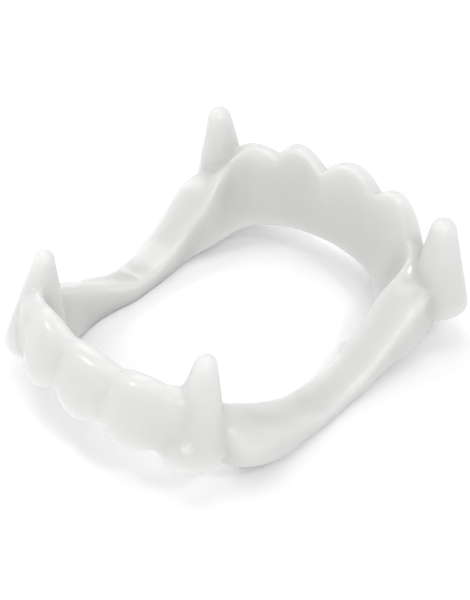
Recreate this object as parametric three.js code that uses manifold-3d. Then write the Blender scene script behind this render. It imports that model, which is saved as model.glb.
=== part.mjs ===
import * as THREE from "three";
import { mergeVertices } from "three/addons/utils/BufferGeometryUtils.js";
import Module from "manifold-3d";

// A set of fang teeth moulded in one piece: a lower arch and an upper arch joined by two side arms
// into an open ring, lying as it rests on a table with every fang pointing up.
// Millimetres. +X across the mouth, +Y from the lower arch to the upper arch, +Z up.

// Sizes that drive the ring
const HALF_WIDTH = 20; // middle of each arm, out from the plane of symmetry
const LOWER_REACH = 26.5; // middle of the lower arch, forward of the middle of the ring
const UPPER_REACH = 27.6; // middle of the upper arch, behind the middle of the ring
const LOWER_HEIGHT = 16; // top of the lower band between its teeth
const UPPER_HEIGHT = 20.3; // top of the upper band between its teeth
const WALL = 5.6; // thickness of an arm at its flat middle

// Sizes that drive the fangs
const LOWER_FANG_TOP = 21.55;
const UPPER_FANG_TOP = 22.5;
const LOWER_FANG_RADIUS = 4.6;
const UPPER_FANG_RADIUS = 4.6;
const LOWER_TIP_RADIUS = 1.6;
const UPPER_TIP_RADIUS = 1.95;
const FANG_FOOT_ROUND = 1.3;

// Sizes of the moulding marks
const GATE_LENGTH = 2.8;
const GATE_RADIUS = 0.8;
const PIP_RADIUS = 0.9;
const PIP_LIFT = 3.95; // above the foot of its fang

// How finely the curved faces are cut
const TOOTH_STEPS = 10; // sections between two rows where teeth stand
const ARM_STEPS = 4; // sections between two rows along an arm
const LOWER_TOOTH_ROWS = 3; // rows from the middle of the lower arch that its teeth reach over
const UPPER_TOOTH_ROWS = 4;
const CORNER_STEPS = 3;
const FANG_SIDES = 20;
const FANG_CAP_STEPS = 3;
const SHORTEST_EDGE = 0.02;

// Sections of the right half of the ring, from the middle of an arch round to the arm.
// across is a share of HALF_WIDTH, along of the reach, the four offsets of WALL, and the four z of
// the height of the arch the section belongs to; turn is in degrees. belly swells the outer face and
// hollow sinks the top face, as shares of WALL; topRound is how far the two top corners are rounded.
const COLUMNS = [
  "across", "along", "turn",
  "footIn", "footOut", "topIn", "topOut",
  "zFootIn", "zFootOut", "zTopIn", "zTopOut", "belly", "hollow", "topRound",
];
const LOWER_ROWS = [
  [0, -1, 0, -0.27, 0.47, -0.52, -0.23, 0.56, 0.54, 0.955, 0.94, 0.12, 0, 0.4],
  [0.3, -0.99, 3, -0.27, 0.46, -0.5, -0.21, 0.56, 0.54, 0.985, 0.97, 0.12, 0, 0.4],
  [0.575, -0.955, 10, -0.27, 0.42, -0.46, -0.16, 0.54, 0.51, 1.05, 1.02, 0.12, 0, 0.38],
  [0.75, -0.875, 35, -0.3, 0.36, -0.36, 0.05, 0.38, 0.38, 1.08, 1.02, 0.14, 0.02, 0.36],
  [0.86, -0.78, 60, -0.32, 0.32, -0.31, 0.16, 0.27, 0.32, 0.96, 0.86, 0.2, 0.02, 0.44],
  [0.925, -0.66, 75, -0.39, 0.42, -0.34, 0.3, 0.12, 0.205, 0.85, 0.71, 0.27, 0.05, 0.46],
  [0.965, -0.53, 84, -0.48, 0.48, -0.41, 0.36, 0.02, 0.1, 0.72, 0.6, 0.22, 0.06, 0.42],
  [0.995, -0.395, 88, -0.41, 0.46, -0.43, 0.4, -0.025, 0.05, 0.565, 0.46, 0.1, 0.04, 0.3],
  [1.005, -0.25, 90, -0.43, 0.43, -0.53, 0.43, -0.025, 0.035, 0.4, 0.32, 0.03, 0.02, 0.2],
  [1, -0.083, 90, -0.52, 0.46, -0.62, 0.46, -0.025, 0.02, 0.26, 0.2, 0, 0, 0.16],
];
const UPPER_ROWS = [
  [0.995, 0.08, 90, -0.48, 0.46, -0.6, 0.46, -0.02, 0.015, 0.18, 0.16, 0, 0, 0.13],
  [1.01, 0.24, 90, -0.48, 0.45, -0.62, 0.48, -0.02, 0.025, 0.244, 0.24, 0, 0, 0.11],
  [1.015, 0.4, 90, -0.5, 0.47, -0.58, 0.51, 0.008, 0.07, 0.375, 0.385, 0, 0, 0.1],
  [1.005, 0.56, 93, -0.86, 0.6, -0.56, 0.58, 0.09, 0.124, 0.52, 0.535, 0, 0.02, 0.11],
  [0.9, 0.73, 114, -0.86, 0.92, 0, 0.8, 0.17, 0.205, 0.7, 0.6, 0, 0.03, 0.14],
  [0.8, 0.81, 130, -0.74, 0.86, 0.07, 0.52, 0.2, 0.23, 0.78, 0.76, 0.02, 0.02, 0.16],
  [0.68, 0.875, 144, -0.6, 0.68, -0.2, 0.19, 0.217, 0.235, 0.845, 0.83, 0.05, 0, 0.16],
  [0.4, 0.965, 163, -0.43, 0.46, -0.7, -0.35, 0.23, 0.235, 0.975, 0.97, 0.11, 0, 0.2],
  [0, 1, 180, -0.34, 0.34, -0.93, -0.6, 0.232, 0.235, 1, 1, 0.14, 0, 0.22],
];

// Teeth from left to right. start and end are shares of HALF_WIDTH; liftStart and liftEnd raise the
// notches at either side, rise is the crest above them and drop the lobe below the foot, all as
// shares of the arch's height; out is how far the face swells, as a share of WALL.
const UPPER_TEETH = [
  { start: -1, end: -0.51, liftStart: 0, liftEnd: -0.025, rise: 0.085, drop: 0, out: 0 },
  { start: -0.51, end: -0.03, liftStart: -0.025, liftEnd: -0.015, rise: 0.12, drop: 0, out: 0 },
  { start: -0.03, end: 0.465, liftStart: -0.015, liftEnd: 0.045, rise: 0.145, drop: 0, out: 0 },
  { start: 0.465, end: 0.85, liftStart: 0.045, liftEnd: 0, rise: 0.195, drop: 0, out: 0 },
];
const LOWER_TEETH = [
  { start: -0.6, end: -0.225, liftStart: 0, liftEnd: 0, rise: 0.055, drop: 0.082, out: 0.16 },
  { start: -0.225, end: 0.225, liftStart: 0, liftEnd: 0, rise: 0.055, drop: 0.082, out: 0.16 },
  { start: 0.225, end: 0.6, liftStart: 0, liftEnd: 0, rise: 0.055, drop: 0.082, out: 0.16 },
];
const LOBE_POWER = 2; // roundness of a tooth's crest
const SEAM_POWER = 1.4; // softness of the seam beside a swelling
const TOP_SWELL = 0.3; // share of a tooth's swelling that its top edge follows
const INNER_DROP = 0.6; // share of a tooth's drop that the inner foot follows

// How much of the shorter edge beside it each foot corner of a section is rounded over
const FOOT_ROUND = { inner: 0.2, outer: 0.3 };
const FACE_POINTS = 2; // how many points draw a bowed face between its rounded corners

// Fangs of the right half. The foot and the tip are shares of HALF_WIDTH, of the arch's reach and
// of the arch's height.
const FANGS = [
  {
    reach: LOWER_REACH, height: LOWER_HEIGHT, footAcross: 0.785, footAlong: -0.852, footZ: 0.4,
    tipAcross: 0.775, tipAlong: -0.72, top: LOWER_FANG_TOP,
    radius: LOWER_FANG_RADIUS, tipRadius: LOWER_TIP_RADIUS,
  },
  {
    reach: UPPER_REACH, height: UPPER_HEIGHT, footAcross: 1.095, footAlong: 0.866, footZ: 0.305,
    tipAcross: 1.09, tipAlong: 0.83, top: UPPER_FANG_TOP,
    radius: UPPER_FANG_RADIUS, tipRadius: UPPER_TIP_RADIUS,
  },
];

// The gate stub lies along the inner edge of the right arm, and the pip on the lower right fang.
const GATE = { across: 0.85, along: 0.305, z: 0.22 };
const PIP = { out: 0.56, bearing: -55 };

const wasm = await Module();
wasm.setup();

// Solids and geometries
function toSolid(geometry) {
  geometry.deleteAttribute("normal");
  geometry.deleteAttribute("uv");
  const merged = mergeVertices(geometry, 1e-4);
  return new wasm.Manifold(
    new wasm.Mesh({
      numProp: 3,
      vertProperties: merged.attributes.position.array,
      triVerts: new Uint32Array(merged.index.array),
    }),
  );
}

function toGeometry(solid) {
  const mesh = solid.getMesh();
  const geometry = new THREE.BufferGeometry();
  geometry.setAttribute("position", new THREE.BufferAttribute(mesh.vertProperties, mesh.numProp));
  geometry.setIndex(new THREE.BufferAttribute(mesh.triVerts, 1));
  return geometry;
}

// Draws together the ends of edges that are too short to matter, and drops the faces this closes
function withoutSpecks(geometry) {
  const place = geometry.attributes.position;
  const corners = geometry.index.array;
  const owner = Array.from({ length: place.count }, (_, i) => i);
  const root = (i) => (owner[i] === i ? i : root(owner[i]));
  const start = new THREE.Vector3();
  const end = new THREE.Vector3();
  for (let i = 0; i < corners.length; i += 1) {
    const next = i % 3 === 2 ? i - 2 : i + 1;
    start.fromBufferAttribute(place, corners[i]);
    end.fromBufferAttribute(place, corners[next]);
    if (start.distanceTo(end) < SHORTEST_EDGE) {
      owner[root(corners[i])] = root(corners[next]);
    }
  }
  const faces = [];
  for (let i = 0; i < corners.length; i += 3) {
    const [a, b, c] = [0, 1, 2].map((k) => root(corners[i + k]));
    if (a !== b && b !== c && c !== a) {
      faces.push(a, b, c);
    }
  }
  geometry.setIndex(faces);
  return geometry;
}

// Skins a list of rings of points; a closed loop joins the last ring to the first, and an open one
// is capped at the two end points.
function skin(rings, ends) {
  const count = rings[0].length;
  const points = rings.flat();
  const faces = [];
  const spans = ends ? rings.length - 1 : rings.length;
  for (let i = 0; i < spans; i += 1) {
    const here = i * count;
    const next = ((i + 1) % rings.length) * count;
    for (let j = 0; j < count; j += 1) {
      const k = (j + 1) % count;
      faces.push(here + j, here + k, next + k, here + j, next + k, next + j);
    }
  }
  if (ends) {
    const last = (rings.length - 1) * count;
    const bottom = points.length;
    const top = bottom + 1;
    points.push(...ends);
    for (let j = 0; j < count; j += 1) {
      const k = (j + 1) % count;
      faces.push(bottom, k, j, top, last + j, last + k);
    }
  }
  const geometry = new THREE.BufferGeometry().setFromPoints(points);
  geometry.setIndex(faces);
  return geometry;
}

// The rows of the whole ring, in millimetres
function sized(row, reach, height) {
  const scale = {
    across: HALF_WIDTH, along: reach, turn: 1,
    footIn: WALL, footOut: WALL, topIn: WALL, topOut: WALL,
    zFootIn: height, zFootOut: height, zTopIn: height, zTopOut: height,
    belly: WALL, hollow: WALL, topRound: 1,
  };
  return Object.fromEntries(COLUMNS.map((name, i) => [name, row[i] * scale[name]]));
}

function mirrored(row) {
  return { ...row, across: -row.across, turn: 360 - row.turn };
}

const rightRows = [
  ...LOWER_ROWS.map((row) => sized(row, LOWER_REACH, LOWER_HEIGHT)),
  ...UPPER_ROWS.map((row) => sized(row, UPPER_REACH, UPPER_HEIGHT)),
];
const leftRows = rightRows.slice(1, -1).reverse().map(mirrored);
const ringRows = [...rightRows, ...leftRows];

// A row between two others, on a smooth curve through their neighbours
function rowAt(index, share) {
  const total = ringRows.length;
  const near = [-1, 0, 1, 2].map((step) => {
    const row = ringRows[(index + step + total) % total];
    const laps = Math.floor((index + step) / total);
    return { ...row, turn: row.turn + 360 * laps };
  });
  const blend = (name) => {
    const [a, b, c, d] = near.map((row) => row[name]);
    const slope = (c - a) * share;
    const bend = (2 * a - 5 * b + 4 * c - d) * share ** 2;
    const swing = (3 * b - a - 3 * c + d) * share ** 3;
    return b + (slope + bend + swing) / 2;
  };
  return Object.fromEntries(COLUMNS.map((name) => [name, blend(name)]));
}

// The tooth over a place across the ring, with its crest fading to nothing at its notches
function toothAt(across, teeth) {
  const place = across / HALF_WIDTH;
  const tooth = teeth.find((one) => place > one.start && place < one.end);
  if (!tooth) {
    return { raise: 0, drop: 0, out: 0 };
  }
  const share = (place - tooth.start) / (tooth.end - tooth.start);
  const crest = 1 - Math.abs(2 * share - 1) ** LOBE_POWER;
  const swell = Math.sin(Math.PI * share) ** SEAM_POWER;
  const lift = tooth.liftStart + (tooth.liftEnd - tooth.liftStart) * share;
  return { raise: lift + tooth.rise * crest, drop: tooth.drop * crest, out: tooth.out * swell };
}

// One at the middle of a face and nothing at its ends
function arch(share) {
  return 1 - (2 * THREE.MathUtils.clamp(share, 0, 1) - 1) ** 2;
}

// The outline of the band at one row, as points in space
function section(row) {
  const turn = THREE.MathUtils.degToRad(row.turn);
  const outward = new THREE.Vector2(Math.sin(turn), -Math.cos(turn));
  const upper = row.along > 0;
  const height = upper ? UPPER_HEIGHT : LOWER_HEIGHT;
  const crown = row.across + (outward.x * (row.topIn + row.topOut)) / 2;
  const tooth = toothAt(crown, upper ? UPPER_TEETH : LOWER_TEETH);
  const swell = tooth.out * WALL;
  const drop = tooth.drop * height;
  const raise = tooth.raise * height;
  const corners = [
    { across: row.footIn, z: row.zFootIn - drop * INNER_DROP, round: FOOT_ROUND.inner },
    { across: row.footOut + swell, z: row.zFootOut - drop, round: FOOT_ROUND.outer },
    { across: row.topOut + swell * TOP_SWELL, z: row.zTopOut + raise, round: row.topRound },
    { across: row.topIn, z: row.zTopIn + raise, round: row.topRound },
  ].map(({ across, z, round }) => ({ at: new THREE.Vector2(across, z), round }));
  const curves = corners.map((corner, i) => {
    const before = corners[(i + 3) % 4].at;
    const after = corners[(i + 1) % 4].at;
    const reach = corner.round * Math.min(corner.at.distanceTo(before), corner.at.distanceTo(after));
    const back = before.clone().sub(corner.at).setLength(reach).add(corner.at);
    const ahead = after.clone().sub(corner.at).setLength(reach).add(corner.at);
    return new THREE.QuadraticBezierCurve(back, corner.at, ahead);
  });
  const [inFoot, outFoot, outTop, inTop] = curves;
  const sunk = (p) => {
    const share = (p.x - outTop.v1.x) / (inTop.v1.x - outTop.v1.x);
    return new THREE.Vector2(p.x, p.y - row.hollow * arch(share));
  };
  const swollen = (p) => {
    const share = (p.y - outFoot.v1.y) / (outTop.v1.y - outFoot.v1.y);
    return new THREE.Vector2(p.x + row.belly * arch(share), p.y);
  };
  const outline = [
    ...inFoot.getPoints(CORNER_STEPS),
    ...outFoot.getPoints(CORNER_STEPS).map(swollen),
    ...between(outFoot.v2, outTop.v0).map(swollen),
    ...outTop.getPoints(CORNER_STEPS).map(sunk).map(swollen),
    ...between(outTop.v2, inTop.v0).map(sunk),
    ...inTop.getPoints(CORNER_STEPS).map(sunk),
  ];
  return outline.map(
    (p) => new THREE.Vector3(row.across + outward.x * p.x, row.along + outward.y * p.x, p.y),
  );
}

// Points along a face, between the rounding of one corner and that of the next
function between(from, to) {
  return Array.from({ length: FACE_POINTS }, (_, k) => {
    return from.clone().lerp(to, (k + 1) / (FACE_POINTS + 1));
  });
}

function makeBand() {
  const rings = [];
  const half = rightRows.length - 1;
  ringRows.forEach((row, i) => {
    const j = i < half ? i : ringRows.length - 1 - i;
    const steps = j < LOWER_TOOTH_ROWS || j >= half - UPPER_TOOTH_ROWS ? TOOTH_STEPS : ARM_STEPS;
    for (let k = 0; k < steps; k += 1) {
      rings.push(section(rowAt(i, k / steps)).reverse());
    }
  });
  return toSolid(skin(rings));
}

// A leaning cone with a rounded foot and a rounded tip
function makeFang(fang, side) {
  const foot = new THREE.Vector3(
    side * fang.footAcross * HALF_WIDTH, fang.footAlong * fang.reach, fang.footZ * fang.height,
  );
  const tip = new THREE.Vector3(
    side * fang.tipAcross * HALF_WIDTH, fang.tipAlong * fang.reach, fang.top,
  );
  const tall = tip.z - foot.z;
  const profile = [];
  for (let k = 0; k <= FANG_CAP_STEPS; k += 1) {
    const angle = ((Math.PI / 2) * k) / FANG_CAP_STEPS;
    profile.push([
      FANG_FOOT_ROUND * (1 - Math.cos(angle)),
      fang.radius - FANG_FOOT_ROUND * (1 - Math.sin(angle)),
    ]);
  }
  for (let k = 0; k < FANG_CAP_STEPS; k += 1) {
    const angle = ((Math.PI / 2) * k) / FANG_CAP_STEPS;
    profile.push([
      tall - fang.tipRadius * (1 - Math.sin(angle)),
      fang.tipRadius * Math.cos(angle),
    ]);
  }
  const rings = profile.map(([rise, radius]) => {
    const centre = foot.clone().lerp(tip, rise / tall);
    return Array.from({ length: FANG_SIDES }, (_, j) => {
      const angle = (2 * Math.PI * j) / FANG_SIDES;
      return new THREE.Vector3(
        centre.x + radius * Math.cos(angle), centre.y + radius * Math.sin(angle), centre.z,
      );
    });
  });
  return toSolid(skin(rings, [foot, tip]));
}

// The stub left where the plastic entered the mould
function makeGate() {
  const stub = new THREE.CapsuleGeometry(GATE_RADIUS, GATE_LENGTH - 2 * GATE_RADIUS, 4, 10);
  stub.translate(GATE.across * HALF_WIDTH, GATE.along * UPPER_REACH, GATE.z * UPPER_HEIGHT);
  return toSolid(stub);
}

// The round mark of an ejector pin on the foot of the lower right fang
function makePip() {
  const fang = FANGS[0];
  const bearing = THREE.MathUtils.degToRad(PIP.bearing);
  const out = PIP.out * fang.radius;
  const pip = new THREE.SphereGeometry(PIP_RADIUS, 10, 6);
  pip.translate(
    fang.footAcross * HALF_WIDTH + out * Math.cos(bearing),
    fang.footAlong * fang.reach + out * Math.sin(bearing),
    fang.footZ * fang.height + PIP_LIFT,
  );
  return toSolid(pip);
}

// Everything under the table top, which flattens the arms' undersides
function makeTable() {
  const deep = UPPER_HEIGHT;
  const wide = 4 * HALF_WIDTH;
  const long = 4 * UPPER_REACH;
  const block = new THREE.BoxGeometry(wide, long, deep);
  block.translate(0, 0, -deep / 2);
  return toSolid(block);
}

let denture = makeBand();
for (const fang of FANGS) {
  for (const side of [1, -1]) {
    denture = denture.add(makeFang(fang, side));
  }
}
denture = denture.add(makeGate()).add(makePip()).subtract(makeTable());

const geometry = withoutSpecks(toGeometry(denture));
geometry.computeBoundingBox();
const middle = geometry.boundingBox.getCenter(new THREE.Vector3());
geometry.translate(-middle.x, -middle.y, 0);
geometry.computeVertexNormals();

const plastic = new THREE.MeshStandardMaterial({ color: 0xf0efe9, roughness: 0.35, metalness: 0 });
const mesh = new THREE.Mesh(geometry, plastic);
mesh.name = "denture";

const teeth = new THREE.Group();
teeth.name = "fang_teeth";
teeth.add(mesh);

export default teeth;
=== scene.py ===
import math

import bpy
import numpy as np
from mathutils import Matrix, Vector
from mathutils.kdtree import KDTree


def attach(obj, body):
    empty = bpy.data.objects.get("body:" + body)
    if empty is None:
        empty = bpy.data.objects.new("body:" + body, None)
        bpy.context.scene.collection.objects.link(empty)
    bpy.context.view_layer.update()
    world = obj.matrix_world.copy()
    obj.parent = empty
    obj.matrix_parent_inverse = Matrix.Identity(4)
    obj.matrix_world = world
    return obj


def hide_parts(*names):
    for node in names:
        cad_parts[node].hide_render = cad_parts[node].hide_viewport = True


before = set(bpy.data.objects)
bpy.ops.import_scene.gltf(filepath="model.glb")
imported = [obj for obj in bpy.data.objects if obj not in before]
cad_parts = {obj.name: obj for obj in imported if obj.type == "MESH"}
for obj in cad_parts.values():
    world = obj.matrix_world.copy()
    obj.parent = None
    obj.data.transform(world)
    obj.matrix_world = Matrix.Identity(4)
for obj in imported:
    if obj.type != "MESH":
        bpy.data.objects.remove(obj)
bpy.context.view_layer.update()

MM = 0.001

# Sizes of the ring, in millimetres
HALF_WIDTH = 20.0
LOWER_REACH = 26.5
UPPER_REACH = 27.6
LOWER_HEIGHT = 16.0
UPPER_HEIGHT = 20.3
WALL = 5.6

# Sizes of the fangs
LOWER_FANG = dict(foot=(0.785, -0.852, 0.40), tip=(0.775, -0.72), top=21.35, radius=4.6, tip_radius=1.6,
                  reach=LOWER_REACH, height=LOWER_HEIGHT)
UPPER_FANG = dict(foot=(1.095, 0.866, 0.305), tip=(1.09, 0.83), top=22.5, radius=4.6, tip_radius=1.95,
                  reach=UPPER_REACH, height=UPPER_HEIGHT)
FANG_FOOT_ROUND = 1.3

# Columns: across, along, turn, then four offsets of the section's corners (foot in, foot out,
# top in, top out), their four heights, the belly of the outer face, the hollow of the top face and
# how round the two top corners are
LOWER_ROWS = [
    [0, -1, 0, -0.27, 0.39, -0.52, -0.23, 0.56, 0.54, 0.955, 0.94, 0.12, 0, 0.4],
    [0.3, -0.99, 3, -0.27, 0.38, -0.5, -0.21, 0.56, 0.54, 0.985, 0.97, 0.12, 0, 0.4],
    [0.575, -0.955, 10, -0.27, 0.36, -0.46, -0.16, 0.54, 0.51, 1.05, 1.02, 0.12, 0, 0.38],
    [0.75, -0.875, 35, -0.3, 0.36, -0.36, 0.05, 0.38, 0.38, 1.08, 1.02, 0.14, 0.02, 0.36],
    [0.86, -0.78, 60, -0.32, 0.24, -0.31, 0.04, 0.27, 0.32, 0.97, 0.86, 0.13, 0.02, 0.44],
    [0.925, -0.66, 75, -0.39, 0.41, -0.34, 0.46, 0.12, 0.205, 0.865, 0.68, 0.22, 0.1, 0.46],
    [0.965, -0.53, 84, -0.48, 0.48, -0.41, 0.46, 0.02, 0.1, 0.72, 0.57, 0.16, 0.12, 0.42],
    [0.995, -0.395, 88, -0.41, 0.46, -0.43, 0.42, -0.025, 0.05, 0.565, 0.45, 0.08, 0.06, 0.3],
    [1.005, -0.25, 90, -0.43, 0.43, -0.53, 0.43, -0.025, 0.035, 0.4, 0.32, 0.03, 0.02, 0.2],
    [1, -0.083, 90, -0.52, 0.46, -0.62, 0.46, -0.025, 0.02, 0.26, 0.2, 0, 0, 0.16],
]
UPPER_ROWS = [
    [0.995, 0.08, 90, -0.48, 0.46, -0.6, 0.46, -0.02, 0.015, 0.18, 0.16, 0, 0, 0.13],
    [1.01, 0.24, 90, -0.48, 0.45, -0.62, 0.48, -0.02, 0.025, 0.244, 0.24, 0, 0, 0.11],
    [1.015, 0.4, 90, -0.5, 0.47, -0.58, 0.51, 0.008, 0.07, 0.375, 0.385, 0, 0, 0.1],
    [1.005, 0.56, 93, -0.86, 0.7, -0.56, 0.6, 0.09, 0.11, 0.52, 0.535, 0, 0.02, 0.11],
    [0.9, 0.73, 114, -0.86, 1.02, 0, 0.84, 0.17, 0.19, 0.7, 0.6, 0, 0.03, 0.14],
    [0.8, 0.81, 130, -0.74, 0.86, 0.07, 0.52, 0.2, 0.23, 0.78, 0.76, 0.02, 0.02, 0.16],
    [0.68, 0.875, 144, -0.6, 0.68, -0.2, 0.2, 0.217, 0.235, 0.84, 0.83, 0.05, 0, 0.13],
    [0.4, 0.965, 163, -0.43, 0.46, -0.7, -0.33, 0.23, 0.235, 0.965, 0.97, 0.11, 0, 0.14],
    [0, 1, 180, -0.34, 0.34, -0.93, -0.58, 0.232, 0.235, 0.99, 0.995, 0.14, 0, 0.15],
]
# Columns: start, end, lift of the notch at the start and at the end, rise, drop, swell
UPPER_TEETH = [
    (-1, -0.51, 0, -0.025, 0.085, 0, 0),
    (-0.51, -0.03, -0.025, -0.015, 0.12, 0, 0),
    (-0.03, 0.465, -0.015, 0.045, 0.145, 0, 0),
    (0.465, 0.85, 0.045, 0, 0.195, 0, 0),
]
LOWER_TEETH = [
    (-0.6, -0.225, 0, 0, 0.055, 0.082, 0.26),
    (-0.225, 0.225, 0, 0, 0.055, 0.082, 0.26),
    (0.225, 0.6, 0, 0, 0.055, 0.082, 0.26),
]
LOBE_POWER = 2.0
SEAM_POWER = 0.9
TOP_SWELL = 0.25
INNER_DROP = 0.6
CORNER_ROUND = (0.2, 0.3)
# How finely the solids are drawn
CORNER_STEPS = 6
FACE_STEPS = 6
TOOTH_STEPS = 36
ARM_STEPS = 14
LOWER_TOOTH_ROWS = 3
UPPER_TOOTH_ROWS = 4
FANG_SIDES = 72
FANG_STEPS = 9

# Soft forms on the skin of the right side, the same on the left: where a stroke starts and ends from
# the middle of the ring, how far it reaches and how far it moves the skin, all in millimetres
STROKES = {
    "swollen shoulder": ((20.8, -18.0, 9.0), (21.9, -14.0, 8.2), 3.0, (0.65, -0.3, 0.35)),
    "dip behind the shoulder": ((19.4, -12.9, 10.4), (21.6, -8.9, 6.9), 1.7, (-0.15, -0.1, -0.25)),
}

# Moulding marks
GATE = dict(across=0.84, along=0.305, z=0.22, length=2.8, radius=0.95)
PIP = dict(out=0.62, bearing=-55.0, lift=3.95, radius=0.85)

# Remeshing and rounding of the joined skin
VOXEL = 0.28
ROUND_ALL = 5
ROUND_JOINT = 9
JOINT_REACH = 1.2
JOINT_GAIN = 3

# Looks: colours are shares of red, green and blue, depths are in millimetres
PLASTIC_COLOUR = (0.585, 0.583, 0.577, 1)
PLASTIC_ROUGHNESS = 0.19
PLASTIC_IOR = 1.5
GLOW_WEIGHT = 0.9
GLOW_RADIUS = (1.0, 0.98, 0.96)
GLOW_DEPTH = 7.0
GRAIN_SCALE = 900
GRAIN_DETAIL = 3
GRAIN_STRENGTH = 0.12
GRAIN_DEPTH = 0.05
FLOOR_COLOUR = (0.93, 0.93, 0.93, 1)
FLOOR_ROUGHNESS = 0.9
FLOOR_SPECULAR = 0.1
FLOOR_HALF = 1.5


def sized(row, reach, height):
    scale = [HALF_WIDTH, reach, 1] + [WALL] * 4 + [height] * 4 + [WALL, WALL, 1]
    return [value * by for value, by in zip(row, scale)]


def ring_rows():
    right = [sized(row, LOWER_REACH, LOWER_HEIGHT) for row in LOWER_ROWS]
    right += [sized(row, UPPER_REACH, UPPER_HEIGHT) for row in UPPER_ROWS]
    left = [[-row[0], row[1], 360 - row[2]] + row[3:] for row in right[-2:0:-1]]
    return np.array(right + left, float), len(right)


def row_at(rows, index, share):
    total = len(rows)
    near = []
    for step in (-1, 0, 1, 2):
        row = rows[(index + step) % total].copy()
        row[2] += 360 * math.floor((index + step) / total)
        near.append(row)
    a, b, c, d = near
    return b + ((c - a) * share + (2 * a - 5 * b + 4 * c - d) * share ** 2
                + (3 * b - a - 3 * c + d) * share ** 3) / 2


def tooth_at(across, teeth):
    place = across / HALF_WIDTH
    for start, end, lift_start, lift_end, rise, drop, out in teeth:
        if start < place < end:
            share = (place - start) / (end - start)
            crest = 1 - abs(2 * share - 1) ** LOBE_POWER
            swell = math.sin(math.pi * share) ** SEAM_POWER
            return lift_start + (lift_end - lift_start) * share + rise * crest, drop * crest, out * swell
    return 0.0, 0.0, 0.0


def arch(share):
    return 1 - (2 * min(max(share, 0), 1) - 1) ** 2


def section(row):
    across, along, turn, foot_in, foot_out, top_in, top_out = row[:7]
    z_foot_in, z_foot_out, z_top_in, z_top_out, belly, hollow, top_round = row[7:]
    angle = math.radians(turn)
    outward = np.array([math.sin(angle), -math.cos(angle)])
    upper = along > 0
    height = UPPER_HEIGHT if upper else LOWER_HEIGHT
    crown = across + outward[0] * (top_in + top_out) / 2
    lift, drop, out = tooth_at(crown, UPPER_TEETH if upper else LOWER_TEETH)
    swell = out * WALL
    corners = np.array([
        [foot_in, z_foot_in - drop * height * INNER_DROP],
        [foot_out + swell, z_foot_out - drop * height],
        [top_out + swell * TOP_SWELL, z_top_out + lift * height],
        [top_in, z_top_in + lift * height],
    ])
    points, curves = [], []
    for i, corner in enumerate(corners):
        before, after = corners[i - 1], corners[(i + 1) % 4]
        to_before, to_after = np.linalg.norm(before - corner), np.linalg.norm(after - corner)
        reach = (CORNER_ROUND[i] if i < 2 else top_round) * min(to_before, to_after)
        start = corner + (before - corner) / to_before * reach
        end = corner + (after - corner) / to_after * reach
        curves.append((start, corner, end))

    def bowed(point, side):
        out, z = point
        if side in ("top", "outer top"):
            z -= hollow * arch((out - corners[2][0]) / (corners[3][0] - corners[2][0]))
        if side in ("outer", "outer top"):
            out += belly * arch((z - corners[1][1]) / (corners[2][1] - corners[1][1]))
        return out, z

    for (start, corner, end), side in zip(curves, ("", "outer", "outer top", "top")):
        for s in np.linspace(0, 1, CORNER_STEPS + 1):
            points.append(bowed((1 - s) ** 2 * start + 2 * s * (1 - s) * corner + s * s * end, side))
        if side.startswith("outer"):
            face = curves[2 if side == "outer" else 3][0] - end
            for share in np.linspace(0, 1, FACE_STEPS + 2)[1:-1]:
                points.append(bowed(end + face * share, "outer" if side == "outer" else "top"))
    points = np.array(points)
    return np.stack([across + outward[0] * points[:, 0], along + outward[1] * points[:, 0], points[:, 1]], -1)


def skin(rings, ends=None):
    rings = np.array(rings)
    total, count = rings.shape[:2]
    points = rings.reshape(-1, 3)
    spans = total - 1 if ends is not None else total
    i, j = np.meshgrid(np.arange(spans), np.arange(count), indexing="ij")
    here, there = i * count, ((i + 1) % total) * count
    k = (j + 1) % count
    quads = np.stack([here + j, here + k, there + k, there + j], -1).reshape(-1, 4)
    faces = [tuple(q) for q in quads.tolist()]
    if ends is not None:
        last, bottom = (total - 1) * count, len(points)
        points = np.concatenate([points, np.array(ends)])
        for j in range(count):
            k = (j + 1) % count
            faces.append((bottom, k, j))
            faces.append((bottom + 1, last + j, last + k))
    return points, faces


def make_band():
    rows, right = ring_rows()
    half, total = right - 1, len(rows)
    rings = []
    for i in range(total):
        j = i if i < half else total - 1 - i
        steps = TOOTH_STEPS if j < LOWER_TOOTH_ROWS or j >= half - UPPER_TOOTH_ROWS else ARM_STEPS
        rings += [section(row_at(rows, i, k / steps))[::-1] for k in range(steps)]
    return skin(rings)


def fang_ends(fang, side):
    """The middle of a fang's foot and its tip; side is 1 on the right and -1 on the left."""
    foot = np.array([side * fang["foot"][0] * HALF_WIDTH, fang["foot"][1] * fang["reach"],
                     fang["foot"][2] * fang["height"]])
    tip = np.array([side * fang["tip"][0] * HALF_WIDTH, fang["tip"][1] * fang["reach"], fang["top"]])
    return foot, tip


def make_fang(fang, side):
    foot, tip = fang_ends(fang, side)
    tall, radius, tip_radius = tip[2] - foot[2], fang["radius"], fang["tip_radius"]
    profile = []
    for angle in np.linspace(0, math.pi / 2, FANG_STEPS):
        profile.append((FANG_FOOT_ROUND * (1 - math.cos(angle)),
                        radius - FANG_FOOT_ROUND * (1 - math.sin(angle))))
    for angle in np.linspace(0, math.pi / 2, FANG_STEPS)[:-1]:
        profile.append((tall - tip_radius * (1 - math.sin(angle)), tip_radius * math.cos(angle)))
    turns = np.linspace(0, 2 * math.pi, FANG_SIDES, endpoint=False)
    rings = []
    for rise, r in profile:
        centre = foot + (tip - foot) * rise / tall
        rings.append(np.stack([centre[0] + r * np.cos(turns), centre[1] + r * np.sin(turns),
                               np.full(FANG_SIDES, centre[2])], -1))
    return skin(rings, [foot, tip])


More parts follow.
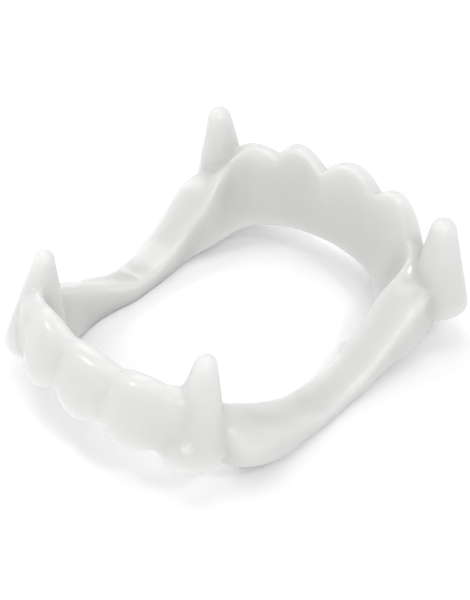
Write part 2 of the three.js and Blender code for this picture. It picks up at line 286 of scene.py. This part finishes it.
def make_ball(centre, radius, stretch=(1, 1, 1), sides=24, steps=12):
    turns = np.linspace(0, 2 * math.pi, sides, endpoint=False)
    centre, stretch = np.array(centre, float), np.array(stretch, float)
    rings = []
    for angle in np.linspace(-math.pi / 2, math.pi / 2, steps + 1)[1:-1]:
        ring = np.stack([math.cos(angle) * np.cos(turns), math.cos(angle) * np.sin(turns),
                         np.full(sides, math.sin(angle))], -1)
        rings.append(centre + ring * radius * stretch)
    up = np.array([0, 0, radius]) * stretch
    return skin(rings, [centre - up, centre + up])


def mesh_object(name, points, faces):
    mesh = bpy.data.meshes.new(name)
    mesh.from_pydata(points.tolist(), [], faces)
    mesh.update()
    thing = bpy.data.objects.new(name, mesh)
    bpy.context.scene.collection.objects.link(thing)
    return thing


def joined(solids):
    points, faces, offset = [], [], 0
    for p, f in solids:
        points.append(p)
        faces += [tuple(v + offset for v in face) for face in f]
        offset += len(p)
    return np.concatenate(points), faces


def remeshed(points, faces, voxel):
    raw = mesh_object("raw", points, faces)
    modifier = raw.modifiers.new("fuse", "REMESH")
    modifier.mode = "VOXEL"
    modifier.voxel_size = voxel
    modifier.adaptivity = 0.0
    bpy.context.view_layer.update()
    graph = bpy.context.evaluated_depsgraph_get()
    mesh = bpy.data.meshes.new_from_object(raw.evaluated_get(graph))
    bpy.data.objects.remove(raw)
    return mesh


def relax(points, edges, weight, rounds, factor=0.5):
    a, b = edges[:, 0], edges[:, 1]
    count = len(points)
    degree = np.bincount(a, minlength=count) + np.bincount(b, minlength=count)
    degree = np.maximum(degree, 1)[:, None]
    for _ in range(rounds):
        total = np.stack([np.bincount(a, points[b, k], count) + np.bincount(b, points[a, k], count)
                          for k in range(3)], -1)
        points = points + factor * weight[:, None] * (total / degree - points)
    return points


def fang_distance(points, fang, side):
    """How far each point stands from the skin of a fang, roughly, in millimetres."""
    foot, tip = fang_ends(fang, side)
    tall = tip[2] - foot[2]
    share = np.clip((points[:, 2] - foot[2]) / tall, 0, 1)
    centre = foot + (tip - foot) * share[:, None]
    radius = fang["radius"] + (fang["tip_radius"] - fang["radius"]) * share
    flat = np.linalg.norm((points - centre)[:, :2], axis=1) - radius
    below = np.maximum(foot[2] - points[:, 2], 0)
    return np.hypot(np.maximum(flat, 0), below) + np.minimum(flat, 0) * (below == 0)


def stroked(points):
    """The skin moved along every stroke, most at its middle line and smoothly less away from it."""
    moved = points.copy()
    for side in (1, -1):
        mirror = np.array([side, 1, 1])
        for start, end, reach, push in STROKES.values():
            start, end = np.array(start) * mirror, np.array(end) * mirror
            line = end - start
            share = np.clip((points - start) @ line / (line @ line), 0, 1)
            far = np.linalg.norm(points - start - share[:, None] * line, axis=1)
            moved += np.exp(-(far / reach) ** 2)[:, None] * np.array(push) * mirror
    return moved


def make_denture():
    band = make_band()
    fangs = [(fang, side, make_fang(fang, side)) for fang in (LOWER_FANG, UPPER_FANG) for side in (1, -1)]
    gate = make_ball((GATE["across"] * HALF_WIDTH, GATE["along"] * UPPER_REACH, GATE["z"] * UPPER_HEIGHT),
                     GATE["radius"], (1, GATE["length"] / 2 / GATE["radius"], 1))
    bearing = math.radians(PIP["bearing"])
    out = PIP["out"] * LOWER_FANG["radius"]
    pip = make_ball((LOWER_FANG["foot"][0] * HALF_WIDTH + out * math.cos(bearing),
                     LOWER_FANG["foot"][1] * LOWER_REACH + out * math.sin(bearing),
                     LOWER_FANG["foot"][2] * LOWER_HEIGHT + PIP["lift"]), PIP["radius"])
    points, faces = joined([band] + [solid for _, _, solid in fangs] + [gate, pip])
    mesh = remeshed(points, faces, VOXEL)
    count = len(mesh.vertices)
    flat = np.empty(count * 3)
    mesh.vertices.foreach_get("co", flat)
    place = flat.reshape(-1, 3)
    edges = np.empty(len(mesh.edges) * 2, dtype=np.int64)
    mesh.edges.foreach_get("vertices", edges)
    edges = edges.reshape(-1, 2)
    near = np.full(count, np.inf)
    for fang, side, _ in fangs:
        near = np.minimum(near, np.abs(fang_distance(place, fang, side)))
    band_tree = make_tree(band[0])
    band_far = np.array([band_tree.find(p)[2] for p in place])
    joint = np.clip(1 - near / JOINT_REACH, 0, 1) * np.clip(1 - band_far / JOINT_REACH, 0, 1)
    place = relax(place, edges, np.clip(joint * JOINT_GAIN, 0, 1), ROUND_JOINT)
    place = relax(place, edges, np.ones(count), ROUND_ALL)
    middle = (points.min(0) + points.max(0)) / 2
    place[:, :2] -= middle[:2]
    place = stroked(place)
    place[:, 2] = np.maximum(place[:, 2], 0)
    mesh.vertices.foreach_set("co", (place * MM).reshape(-1))
    mesh.update()
    mesh.shade_smooth()
    mesh.name = "moulded_teeth"
    piece = bpy.data.objects.new("moulded_teeth", mesh)
    bpy.context.scene.collection.objects.link(piece)
    return piece


def make_tree(points):
    tree = KDTree(len(points))
    for i, p in enumerate(points):
        tree.insert(p, i)
    tree.balance()
    return tree


def plastic():
    material = bpy.data.materials.new("milky_plastic")
    material.use_nodes = True
    tree = material.node_tree
    shader = tree.nodes["Principled BSDF"]
    shader.inputs["Base Color"].default_value = PLASTIC_COLOUR
    shader.inputs["Roughness"].default_value = PLASTIC_ROUGHNESS
    shader.inputs["IOR"].default_value = PLASTIC_IOR
    shader.inputs["Subsurface Weight"].default_value = GLOW_WEIGHT
    shader.inputs["Subsurface Radius"].default_value = GLOW_RADIUS
    shader.inputs["Subsurface Scale"].default_value = GLOW_DEPTH * MM
    place = tree.nodes.new("ShaderNodeTexCoord")
    fine = tree.nodes.new("ShaderNodeTexNoise")
    fine.inputs["Scale"].default_value = GRAIN_SCALE
    fine.inputs["Detail"].default_value = GRAIN_DETAIL
    bump = tree.nodes.new("ShaderNodeBump")
    bump.inputs["Strength"].default_value = GRAIN_STRENGTH
    bump.inputs["Distance"].default_value = GRAIN_DEPTH * MM
    tree.links.new(place.outputs["Object"], fine.inputs["Vector"])
    tree.links.new(fine.outputs["Fac"], bump.inputs["Height"])
    tree.links.new(bump.outputs["Normal"], shader.inputs["Normal"])
    return material


def floor_material():
    material = bpy.data.materials.new("pale_floor")
    material.use_nodes = True
    shader = material.node_tree.nodes["Principled BSDF"]
    shader.inputs["Base Color"].default_value = FLOOR_COLOUR
    shader.inputs["Roughness"].default_value = FLOOR_ROUGHNESS
    shader.inputs["Specular IOR Level"].default_value = FLOOR_SPECULAR
    return material


def area_light(name, place, size, power):
    data = bpy.data.lights.new(name, "AREA")
    data.shape = "DISK"
    data.size = size
    data.energy = power
    light = bpy.data.objects.new(name, data)
    light.location = place
    light.rotation_euler = (Vector(LIGHT_AIM) - Vector(place)).to_track_quat("-Z", "Y").to_euler()
    bpy.context.scene.collection.objects.link(light)


# The teeth
teeth = make_denture()
teeth.data.materials.clear()
teeth.data.materials.append(plastic())
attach(teeth, "root")
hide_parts("denture")

# The floor
corners = np.array([[-1, -1, 0], [1, -1, 0], [1, 1, 0], [-1, 1, 0]]) * FLOOR_HALF
floor = mesh_object("floor", corners, [(0, 1, 2, 3)])
floor.data.materials.append(floor_material())

# The camera stands where the photograph's stood
CAMERA_TURN = 42.6
CAMERA_RISE = 41.0
CAMERA_FAR = 182.97
CAMERA_AIM = (-3.3, 6.75, 3.19)
LENS = 70.86
turn, rise = math.radians(CAMERA_TURN), math.radians(CAMERA_RISE)
back = Vector((math.sin(turn) * math.cos(rise), -math.cos(turn) * math.cos(rise), math.sin(rise)))
camera_data = bpy.data.cameras.new("camera")
camera_data.lens = LENS
camera_data.sensor_width = 36
camera_data.clip_start = 0.01
camera = bpy.data.objects.new("camera", camera_data)
camera.location = (Vector(CAMERA_AIM) + back * CAMERA_FAR) * MM
camera.rotation_euler = back.to_track_quat("Z", "Y").to_euler()
bpy.context.scene.collection.objects.link(camera)
bpy.context.scene.camera = camera

# Soft studio light: where each lamp stands, how wide it is and its power, in metres and watts
LIGHT_AIM = (0, 0, 0.01)
WORLD_STRENGTH = 0.8
area_light("key", (0.255, -0.278, 0.328), 0.25, 0.4)
area_light("side", (0.286, -0.025, 0.41), 0.07, 0.28)
area_light("top", (0, -0.017, 0.5), 0.25, 0.32)
area_light("left", (-0.142, -0.203, 0.132), 0.05, 0.085)
area_light("behind", (-0.317, 0.056, 0.383), 0.25, 0.34)
world = bpy.data.worlds.new("studio")
world.use_nodes = True
world.node_tree.nodes["Background"].inputs["Color"].default_value = (1, 1, 1, 1)
world.node_tree.nodes["Background"].inputs["Strength"].default_value = WORLD_STRENGTH
bpy.context.scene.world = world
bpy.context.scene.view_settings.view_transform = "Standard"
